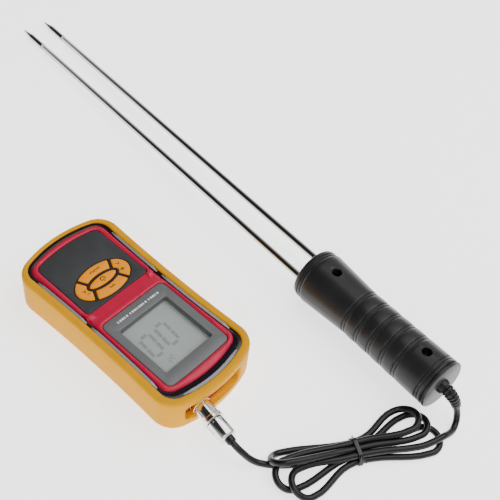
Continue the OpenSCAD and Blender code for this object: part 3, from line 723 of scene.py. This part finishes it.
def ring_key(mid, outer_half, inner_half, gap=1.5):
    """A sector of the ring of keys about its middle direction, in degrees."""
    return (oval(*RING_OUTER, mid - outer_half + gap, mid + outer_half - gap, 24)
            + oval(*RING_INNER, mid + inner_half - 2.2 * gap, mid - inner_half + 2.2 * gap, 18))


def key_height(x, y, loop, dome):
    """The top of a pillowed key: a rounded edge, then a gentle rise to the middle."""
    distance = nearest(x, y, loop)
    rise = 1 - (1 - min(1, distance / 4)) ** 2
    return KEY_TOP - dome - 0.75 * edge_drop(distance, 1.1) + dome * rise


def key_loop(loop):
    """The visible edge of a key, a little inside the moulded key below."""
    return inset(soft_corners(loop, 2.7), 0.6)


def make_key(name, body, node, loop, dome=0.35):
    loop = key_loop(loop)
    points = []
    for step in (0.1, 0.25, 0.45, 0.7, 1.0, 1.4, 2.0, 2.7, 3.4):
        points += [p for p in inset(loop, step)
                   if nearest(*p, loop) > 0.8 * step and inside(Vector(p), loop)]
    flat = [Vector(p) for p in loop + points]
    made = delaunay_2d_cdt(flat, [(i, (i + 1) % len(loop)) for i in range(len(loop))], [], 1, 1e-6)
    top = [(p.x, p.y + KEYS_Y, key_height(p.x, p.y, loop, dome)) for p in made[0]]
    sides = [at_height(moved(loop, 0, KEYS_Y), z) for z in (KEY_BOTTOM, key_height(*loop[0], loop, dome))]
    base = (sides[0], [tuple(range(len(loop)))[::-1]])
    whole = joined((top, [tuple(f) for f in made[2]]), loft(sides), base)
    return add_piece(name, *whole, body, "key_rubber", [node], sharp=50)


def bar(x0, y0, x1, y1, width):
    """A short straight stroke as a loop."""
    a, b = Vector((x0, y0)), Vector((x1, y1))
    side = (b - a).normalized().orthogonal() * width / 2
    return [tuple(a - side), tuple(b - side), tuple(b + side), tuple(a + side)]


def stroke_arc(centre, radius, start, end, width, count=16):
    outer = arc(centre, radius + width / 2, start, end, count)
    return outer + arc(centre, radius - width / 2, end, start, count)


def print_marks(name, strokes, body, ink, surface, thick=0.03):
    """Flat printed strokes, each a loop, laid on a surface given by its height at (x, y)."""
    parts = []
    for loop in strokes:
        made = fill(loop)
        low = [(x, y, surface(x, y) - 0.1) for x, y in made[0]]
        high = [(x, y, surface(x, y) + thick) for x, y in made[0]]
        rim = [[(x, y, surface(x, y) + rise) for x, y in loop] for rise in (-0.1, thick)]
        parts += [(high, made[1]), (low, made[1]), loft(rim)]
    add_piece(name, *joined(*parts), body, ink)


def marks_on(name, strokes, body, loop, dome=0.35):
    loop = key_loop(loop)
    print_marks(name, [moved(s, 0, KEYS_Y) for s in strokes], body, "key_ink",
                lambda x, y: key_height(x, y - KEYS_Y, loop, dome))


def make_keypad():
    power, measure, set_loop = oval(12, 4.2), ring_key(-90, 40, 55), ring_key(90, 40, 55)
    up, down = ring_key(180, 50, 35), ring_key(0, 50, 35)
    holes = [moved(inset(key_loop(loop), -0.15), 0, KEYS_Y) for loop in (power, measure, set_loop, up, down)]
    surround = moved(oval(*KEYS_HOLE), 0, KEYS_Y)
    panel = plate(panel_shape(), [surround], PANEL_Z, PANEL_Z + 1.2, 0.35)
    web = plate(inset(surround, -0.5), holes, PANEL_Z - 0.6, PANEL_Z + 1.05, 0.15, 2)
    add_piece("keypad_plate", *panel, "meter", "panel_plastic", ["keypad_panel"])
    # The web between the keys is a real surface; its near-black colour is painted shade in the gaps around
    # them.
    add_piece("key_web", *web, "meter", "key_gap")
    make_key("power_cap", "power_button", "power_key", power)
    make_key("measure_cap", "measure_button", "measure_key", measure)
    make_key("set_cap", "set_button", "set_key", set_loop)
    make_key("up_cap", "up_button", "up_key", up)
    make_key("down_cap", "down_button", "down_key", down)
    power_sign = [stroke_arc((0, 0), 1.7, 130, 410, 0.65), bar(0, 0.2, 0, 2.4, 0.65)]
    marks_on("power_mark", power_sign, "power_button", power)
    marks_on("measure_mark", letter_row(0, -9.2, 6), "measure_button", measure)
    marks_on("set_mark", letter_row(0, 9.2, 3), "set_button", set_loop)
    sun = [bar(-15.6 + r0 * cos(t), 2.6 + r0 * sin(t), -15.6 + r1 * cos(t), 2.6 + r1 * sin(t), 0.35)
           for r0, r1, t in ((0.1, 1.5, k * pi / 4) for k in range(8))]
    arrow_up = [bar(-17.6, -4, -16.4, -2, 0.5), bar(-16.4, -2, -15.2, -4, 0.5)]
    marks_on("up_mark", [*arrow_up, *sun], "up_button", up)
    arrow_down = [bar(17.6, -1.2, 16.4, 1.2, 0.5), bar(16.4, 1.2, 15.2, -1.2, 0.5)]
    marks_on("down_mark", [*arrow_down, bar(14.6, 3.4, 16.8, 3.4, 0.5)], "down_button", down)


def letter_row(x, y, count, pitch=1.5):
    """Upright strokes with one low foot each, in place of lettering."""
    row = []
    for k in range(count):
        left = x + pitch * (k - count / 2)
        row.append(bar(left, y - 0.85, left, y + 0.85, 0.55))
        foot = y + (0.5 if k % 2 else -0.5)
        row.append(bar(left + 0.35, foot, left + 0.9, foot, 0.5))
    return row


# ---- display ----

GLASS_TOP = 24.1


def make_display():
    hole = moved(round_rect(42, 44.2, 1), 0, LCD_Y)
    sill = moved(round_rect(44.4, 46.6, 1.5), 0, LCD_Y)
    slab = plate(frame_shape(), [hole], PANEL_Z, PANEL_Z + 1.3, 0.5)
    steps = ((hole, 24.9), (hole, 28.4), (sill, 28.4), (sill, 24.9))
    funnel = loft([at_height(edge, z) for edge, z in steps], True)
    add_piece("display_bezel", *joined(slab, funnel), "meter", "grey_plastic", ["display_frame"])
    strokes = figure(11.2, 29, 8.2, 17.5) + figure(-2.4, 29, 8.2, 18)
    strokes += [stroke_arc((11, 46.3), 1.0, 0, 350, 0.55), stroke_arc((7.6, 43.6), 1.0, 0, 350, 0.55),
                bar(11.6, 42.9, 7, 47.1, 0.55)]
    print_marks("display_digits", strokes, "meter", "lcd_ink", lambda x, y: GLASS_TOP, 0.04)
    ticks = []
    for start, count in ((17.5, 5), (6.5, 8), (-10.2, 5)):
        for k in range(count):
            x = start - 1.95 * k
            ticks.append(bar(x, 3.0, x - (1.35 if k % 3 else 0.9), 3.0, 1.5))
    print_marks("frame_ticks", ticks, "meter", "white_ink", lambda x, y: PANEL_Z + 1.3, 0.03)


def figure(x, y, width, height, slant=0.09):
    """The six outer segments of a figure, leaning a little."""
    half_w, half_h, t, gap = width / 2, height / 2, 2.4, 0.4
    strokes = []
    for top in (half_h, -half_h):
        lean = x + slant * top
        strokes.append(bar(lean - half_w + gap + t / 2, y + top, lean + half_w - gap - t / 2, y + top, t))
    for side in (half_w, -half_w):
        for low, high in ((gap, half_h - t / 2), (t / 2 - half_h, -gap)):
            strokes.append(bar(x + side + slant * low, y + low, x + side + slant * high, y + high, t))
    return strokes


# ---- plug ----

PLUG = (Matrix.Translation((16, 80, 15.5)) @ Matrix.Rotation(radians(-9), 4, "Z")
        @ Matrix.Rotation(radians(-90), 4, "X"))
RING_R, SLEEVE_R, SLEEVE_S0, SLEEVE_S1, COLLAR_S1 = 6.6, 6.3, 15.2, 29.5, 33


def grip_slots(radius, s0, s1, first):
    """Six rounded slots along a sleeve, as one cutter."""
    tools = []
    for k in range(6):
        shape = round_rect(1.1, s1 - s0, 0.5, 4)
        rings = [[(x, r, (s0 + s1) / 2 + z) for x, z in shape] for r in (radius - 0.6, radius + 2)]
        turn = Matrix.Rotation(radians(first + 60 * k), 4, "Z")
        tools.append(placed(turn, capped(rings)))
    return placed(PLUG, joined(*tools))


def make_plug():
    ring = [(5.7, -2.1), (6.35, -2.1), (RING_R, -1.85), (RING_R, 0.6), (RING_R - 0.2, 0.8),
            (RING_R - 0.2, 1.0), (RING_R, 1.2), (RING_R, 11.2), (7.2, 11.8), (7.35, 12.0), (7.35, 14.3),
            (7.1, 14.6), (5.0, 14.6), (5.0, 9.0), (5.7, 8.8)]
    lock = add_piece("lock_ring_skin", *placed(PLUG, lathe(ring, 96)), "plug_ring", "plated", ["lock_ring"])
    cut(lock, grip_slots(RING_R, 1.6, 9.6, 0))
    front, rear = SLEEVE_S0, SLEEVE_S1
    sleeve = [(4.5, -1.5), (4.5, 14.9), (5.6, 14.9), (5.9, front), (SLEEVE_R, front + 0.3),
              (SLEEVE_R, rear - 1.5), (SLEEVE_R - 0.25, rear - 1.0), (SLEEVE_R - 1, rear - 0.15),
              (SLEEVE_R - 1.2, rear), (3.2, rear), (3.2, 24), (3.5, 24), (3.5, -1.5)]
    turned = placed(PLUG, lathe(sleeve, 96))
    body = add_piece("plug_sleeve", *turned, "lead_and_probe", "plated", ["plug_body"])
    cut(body, grip_slots(SLEEVE_R, SLEEVE_S0 + 1, SLEEVE_S0 + 7, 30))
    collar = [(2.35, 25), (3.2, 25), (3.2, 32.2), (2.9, 32.8), (2.6, COLLAR_S1), (2.35, COLLAR_S1)]
    turned = placed(PLUG, lathe(collar, 48))
    add_piece("cord_collar", *turned, "lead_and_probe", "cord_rubber", ["plug_collar"])


# ---- probe ----

HANDLE = (Matrix.Translation((-117.2, 61.2, 20.02)) @ Matrix.Rotation(radians(-6.9), 4, "Z")
          @ Matrix.Rotation(radians(2.8), 4, "X"))
FRONT_R, WAIST_R, REAR_R, HANDLE_L = 20.37, 17.7, 18.6, 124
NEEDLE_R, NEEDLE_GAP, NEEDLE_L = 2.5, 20.8, 370
SCREW_S = (21.3, 105.8)
HEAD_Z, WELL_R = 8, 3.5


def body_r(s):
    """Radius of the grip between its grooves: in from the front to the waist, out again to the rear."""
    if s < 46.5:
        return FRONT_R - (FRONT_R - WAIST_R) * max(0, s - 8) / 38.5
    return WAIST_R + (REAR_R - WAIST_R) * (max(0, s - 62) / (HANDLE_L - 62)) ** 1.5


def groove_pair(s, lower=0.0):
    """Two narrow grooves with a rib between them, from station s."""
    r = body_r(s) - lower
    deep = r - 0.7
    rib = r - 0.1
    return [(r, s - 0.1), (r - 0.15, s + 0.1), (deep + 0.1, s + 0.2), (deep, s + 0.35), (deep, s + 0.7),
            (deep + 0.1, s + 0.85), (r - 0.25, s + 0.95), (rib, s + 1.1), (rib, s + 2.5),
            (r - 0.25, s + 2.65), (deep + 0.1, s + 2.75), (deep, s + 2.9), (deep, s + 3.25),
            (deep + 0.1, s + 3.4), (r - 0.15, s + 3.5), (r, s + 3.7)]


def swell(s0, s1):
    stations = [(k / 6, s0 + (s1 - s0) * k / 6) for k in range(1, 6)]
    return [(body_r(s) + 0.2 * sin(pi * t), s) for t, s in stations]


def grip_profile():
    front = [(0, 0), (17.6, 0), (18.2, 0.05), (18.8, 0.3), (19.15, 0.6), (19.4, 1.0), (19.6, 1.6)]
    profile = front + groove_pair(3.6, 0.5) + [(FRONT_R - 0.1, 8.0), (FRONT_R, 8.4)]
    profile += [(body_r(s), s) for s in range(12, 46, 3)]
    for i in range(5):
        s = 46.5 + 11.9 * i
        profile += groove_pair(s) + (swell(s + 3.6, s + 11.9) if i < 4 else [])
    profile += [(body_r(s), s) for s in (100, 103, 106, 109, 112)] + groove_pair(115)
    profile += [(18.5, 120.3), (18.3, 120.7), (17.2, 120.9), (17.2, 122.0), (18.4, 122.2), (18.58, 122.4),
                (18.58, 123.2), (18.4, 123.6), (17.8, 124)]
    return profile


def half_grip(start, end):
    """The grip's wall turned about its axis between two angles, closed on the parting plane."""
    cavity = [(5.4, 124), (5.4, 118.6), (14.8, 118.6), (14.8, 33), (16.6, 33), (16.6, 3.2), (0, 3.2)]
    section = grip_profile() + cavity
    rings = []
    for k in range(49):
        turn = radians(start + (end - start) * k / 48)
        rings.append([(r * cos(turn), s, r * sin(turn)) for r, s in section])
    return placed(HANDLE, capped(rings))


def make_handle():
    seam = 0.35
    rides, finish = "lead_and_probe", "black_plastic"
    upper = add_piece("grip_upper", *half_grip(seam, 180 - seam), rides, finish, ["handle_upper"])
    add_piece("grip_lower", *half_grip(180 + seam / 2, 360 - seam / 2), rides, finish, ["handle_lower"])
    wells, heads = [], []
    for s in SCREW_S:
        at = HANDLE @ Matrix.Translation((0, s, 0))
        top = body_r(s)
        bore = [(0, HEAD_Z - 3), (WELL_R, HEAD_Z - 3), (WELL_R, top - 0.5), (WELL_R + 0.4, top),
                (5.5, top + 1.2), (0, top + 1.2)]
        cut(upper, placed(at, lathe(bore, 48)))
        well = [(0, 4.8), (5.2, 4.8), (5.2, top - 1.2), (WELL_R, top - 1.2), (WELL_R, HEAD_Z - 2.2),
                (0, HEAD_Z - 2.2)]
        wells.append(placed(at, lathe(well, 48)))
        head = [(0, HEAD_Z - 2.2), (2.7, HEAD_Z - 2.2), (3, HEAD_Z - 1.9), (3, HEAD_Z - 0.7),
                (2.6, HEAD_Z - 0.2), (1.8, HEAD_Z), (0, HEAD_Z)]
        heads.append(placed(at, lathe(head, 40)))
    add_piece("screw_wells", *joined(*wells), "lead_and_probe", "black_plastic")
    screws = add_piece("grip_screws", *joined(*heads), "lead_and_probe", "steel", ["handle_screws"])
    for s in SCREW_S:
        at = HANDLE @ Matrix.Translation((0, s, 0))
        for turn in (25, 115):
            blade = [at_height(round_rect(3.6, 0.7, 0.1, 2), z) for z in (HEAD_Z - 1.2, HEAD_Z + 1)]
            cut(screws, placed(at @ Matrix.Rotation(radians(turn), 4, "Z"), capped(blade)))


def make_needles():
    tubes, rings, tips = [], [], []
    for x in (NEEDLE_GAP / 2, -NEEDLE_GAP / 2):
        axis = HANDLE @ Matrix.Translation((x, 0, 0)) @ Matrix.Rotation(radians(-90), 4, "X")
        tube = [(1.8, -336), (2.4, -336), (NEEDLE_R, -335.85), (NEEDLE_R, 31.8), (1.8, 31.8)]
        tubes.append(placed(axis, lathe(tube, 64)))
        ring = [(1.1, -338.5), (NEEDLE_R, -338.5), (NEEDLE_R, -336), (1.1, -336)]
        rings.append(placed(axis, lathe(ring, 64)))
        tip = [(0, -NEEDLE_L), (0.15, -NEEDLE_L + 0.05), (0.3, -NEEDLE_L + 0.4), (NEEDLE_R - 0.08, -356.9),
               (NEEDLE_R, -356.2), (NEEDLE_R, -338.7), (2.35, -338.5), (0, -338.5)]
        tips.append(placed(axis, lathe(tip, 64)))
    add_piece("needle_left", *tubes[0], "lead_and_probe", "steel", ["probe_rod_left"])
    add_piece("needle_right", *tubes[1], "lead_and_probe", "steel", ["probe_rod_right"])
    add_piece("insulating_rings", *joined(*rings), "lead_and_probe", "insulator", ["tip_insulators"])
    add_piece("needle_tips", *joined(*tips), "lead_and_probe", "steel", ["electrode_tips"])


# ---- lead ----

CORD_R = 2.3
WAIST = Vector((-36, 169))
ALONG, ACROSS = Vector((-0.865, 0.502)), Vector((0.502, 0.865))
LOWER_Z, UPPER_Z = 3.3, 7.3
LOWER_C, UPPER_C = (-6.75, -2.25, 2.25, 6.75), (-4.5, 0, 4.5)
# The parts of the route that repeat part.scad's plug_route, handle_route and relief_route
PLUG_ROUTE = [(21.2, 113, 15.4), (21, 117, 13.8), (19.6, 121, 10.4), (17.6, 125, 6.4), (15, 129, 3.6),
              (12, 133, 2.6), (9, 137, 2.6), (6, 140.5, 3)]
HANDLE_ROUTE = [(-103.8, 197.6, 15.4), (-104.2, 198.8, 12), (-103.8, 200.4, 8.6), (-102, 202.2, 5.6),
                (-98.6, 203.8, 3.6), (-94.4, 204.8, 3.4), (-90, 204.8, 4.8), (-85, 204, 6.8),
                (-79, 202.4, 7.4)]
RELIEF_ROUTE = [(-102.3, 184.2, 26.1), (-101.8, 188.6, 26.2), (-101.7, 191.6, 25), (-102.2, 194.2, 22.6),
                (-103, 196.2, 19.2), (-103.8, 197.6, 15.4)]


def slot_point(c, z):
    spot = WAIST + c * ACROSS
    return Vector((spot.x, spot.y, z))


def hank_loop(centre, radius, start, end, heights, near_first, lean=1.0):
    """An end loop of the hank between two places in the tie; heights at its far side, end, near side."""
    centre = Vector(centre)
    way = (centre - (start.xy + end.xy) / 2).normalized()
    side = Vector((-way.y, way.x))
    if side.dot(ACROSS) < 0:
        side = -side
    far, outermost, near = heights
    points = []
    for i in range(9):
        turn = radians(-98 + 24.5 * i)
        z = outermost + (near - far) / 2 * sin(turn) + ((near + far) / 2 - outermost) * sin(turn) ** 2
        spot = centre + radius * cos(turn) * way + radius * lean * sin(turn) * side
        points.append(Vector((spot.x, spot.y, z)))
    if near_first:
        points.reverse()
    return [leave_tie(start, points[0]), *points, leave_tie(end, points[-1])]


def leave_tie(slot_at, towards):
    """A point near the tie where a strand still runs nearly along the hank."""
    heading = (towards.xy - slot_at.xy).normalized()
    straight = ALONG if heading.dot(ALONG) > 0 else -ALONG
    spot = slot_at.xy + 9 * (0.6 * straight + 0.4 * heading)
    return Vector((spot.x, spot.y, slot_at.z + 0.15 * (towards.z - slot_at.z)))


def cord_route():
    lower = [slot_point(c, LOWER_Z) for c in LOWER_C]
    upper = [slot_point(c, UPPER_Z) for c in UPPER_C]
    route = [(19.99, 105.2, 15.5), (20.55, 108.7, 15.5), *PLUG_ROUTE, (-2, 147, 2.4), (-12, 152.5, 2.4),
             (-24, 159.2, 2.6), lower[1]]
    route += [*hank_loop((-76.5, 184), 9.6, lower[1], upper[1], (2.6, 7.2, 8), False), upper[1]]
    route += [*hank_loop((1.8, 141), 9.4, upper[1], lower[0], (2.4, 8.6, 14.8), True, 0.74), lower[0]]
    route += [*hank_loop((-73.5, 177.5), 10, lower[0], upper[0], (5, 10.5, 11), False, 0.97), upper[0]]
    route += [*hank_loop((7, 149.8), 9.4, upper[0], lower[2], (7.4, 5, 2.4), False), lower[2]]
    route += [*hank_loop((-75.8, 196.0), 9.8, lower[2], lower[3], (2.4, 2.4, 2.4), False), lower[3]]
    route += [*hank_loop((4.2, 160.6), 9.4, lower[3], upper[2], (7.2, 7.2, 2.4), True), upper[2]]
    route += [(-50, 184.3, 7.3), (-60.5, 192.8, 7.3), (-70, 199, 7.4), *HANDLE_ROUTE[::-1],
              (-103, 196.2, 19.2)]
    return route


def make_cord():
    line = smooth_line(cord_route(), 6)
    curve = bpy.data.curves.new("lead_cord", "CURVE")
    curve.dimensions = "3D"
    curve.bevel_depth = CORD_R * MM
    curve.bevel_resolution = 7
    curve.use_fill_caps = True
    spline = curve.splines.new("POLY")
    spline.points.add(len(line) - 1)
    for point, at in zip(spline.points, line):
        point.co = (*(at * MM), 1)
    spline.use_smooth = True
    lead = bpy.data.objects.new("lead_cord", curve)
    scene.collection.objects.link(lead)
    dress(lead, "lead_and_probe", "cord_rubber", ["cord_plug_end", "cord_hank", "cord_handle_end"])
    return lead


def make_tie():
    """A flat band pulled tight round the seven strands, with its two twisted ends."""
    grip = CORD_R + 0.5
    path = (arc((LOWER_C[0], LOWER_Z), grip, 150.6, 270, 8) + arc((LOWER_C[-1], LOWER_Z), grip, 270, 389.4, 8)
            + arc((UPPER_C[-1], UPPER_Z), grip, 29.4, 90, 5) + arc((UPPER_C[0], UPPER_Z), grip, 90, 150.6, 5))
    section = round_rect(3, 0.96, 0.3, 3)
    rings = []
    for i, (c, z) in enumerate(path):
        before, after = Vector(path[i - 1]), Vector(path[(i + 1) % len(path)])
        tangent = (after - before).normalized()
        out = Vector((tangent.y, -tangent.x))
        ring = []
        for a, b in section:
            spot = WAIST + a * ALONG + (c + b * out.x) * ACROSS
            ring.append((spot.x, spot.y, max(0.02, z + b * out.y)))
        rings.append(ring)
    band = add_piece("tie_band", *loft(rings, True), "lead_and_probe", "black_trim", ["cord_tie"])
    ends = []
    for route in ([(6.5, 0, 9.8), (8.2, 0.8, 9.4), (9.8, 1.8, 8.2), (10.8, 2.6, 6.8)],
                  [(6.5, 0.4, 9.8), (7.8, -0.8, 9.8), (9.2, -1.8, 9.2), (10.2, -2.6, 8.2)],
                  [(-8.2, 0, 5.4), (-9.6, 0.8, 5.0), (-11, 1.6, 4.0)]):
        line = []
        for c, a, z in route:
            spot = WAIST + a * ALONG + c * ACROSS
            line.append((spot.x, spot.y, z))
        line = smooth_line(line, 5)
        ends.append(tube_along(line, [0.55] * len(line), 10, Vector((0, 0, 1))))
    return band, add_piece("tie_ends", *joined(*ends), "lead_and_probe", "black_trim")


def make_relief():
    """The tapered boot at the handle: a collar, ribs with grooves between them, and an end collar."""
    line = smooth_line(RELIEF_ROUTE, 24)
    lengths = [0.0]
    for a, b in zip(line, line[1:]):
        lengths.append(lengths[-1] + (b - a).length)
    whole = lengths[-1]
    radii = []
    for s in lengths:
        r = 5.0 - 1.7 * s / whole
        if 3.2 < s < whole - 2.2:
            phase = (s - 3.2) % 2.3
            r -= 0.75 * max(0, min(1, phase / 0.35, (1.15 - phase) / 0.35))
        radii.append(r)
    sleeve = tube_along(line, radii, 32)
    axis = HANDLE @ Matrix.Rotation(radians(-90), 4, "X")
    base = placed(axis, lathe([(0, 119), (5.35, 119), (5.35, 126.2), (5.1, 126.8), (4.6, 127), (0, 127)], 48))
    return add_piece("strain_boot", *joined(sleeve, base), "lead_and_probe", "cord_rubber", ["strain_relief"])


# ---- everything ----

make_boot()
make_front_case()
make_band()
make_inlays()
make_keypad()
make_display()
make_plug()
make_handle()
make_needles()
lead_cord = make_cord()
tie_pieces = make_tie()
relief = make_relief()

for cad_name in ("back_case", "battery_cover", "socket_shell", "socket_nut"):
    soften(cad_name)

# ---- floor ----


def make_floor():
    """A table that glows a little, in square rings that grow outwards so that its light is sampled well."""
    corners, faces = [], [(0, 1, 2, 3)]
    for size in (0.5, 1.2, 4, 15, 60):
        corners += [(-size, -size, 0), (size, -size, 0), (size, size, 0), (-size, size, 0)]
    for start in range(0, len(corners) - 4, 4):
        faces += [(start + k, start + 4 + k, start + 4 + (k + 1) % 4, start + (k + 1) % 4) for k in range(4)]
    mesh = bpy.data.meshes.new("floor")
    mesh.from_pydata(corners, [], faces)
    floor = bpy.data.objects.new("floor", mesh)
    floor.location.z = -0.0002
    material = make_material("floor_white", (0.93, 0.93, 0.93), 0.9, 0.01, 3, 400, 0.01, specular=0.1)
    shader = material.node_tree.nodes["Principled BSDF"]
    shader.inputs["Emission Color"].default_value = (1, 1, 1, 1)
    shader.inputs["Emission Strength"].default_value = FLOOR_GLOW
    mesh.materials.append(material)
    scene.collection.objects.link(floor)


make_floor()
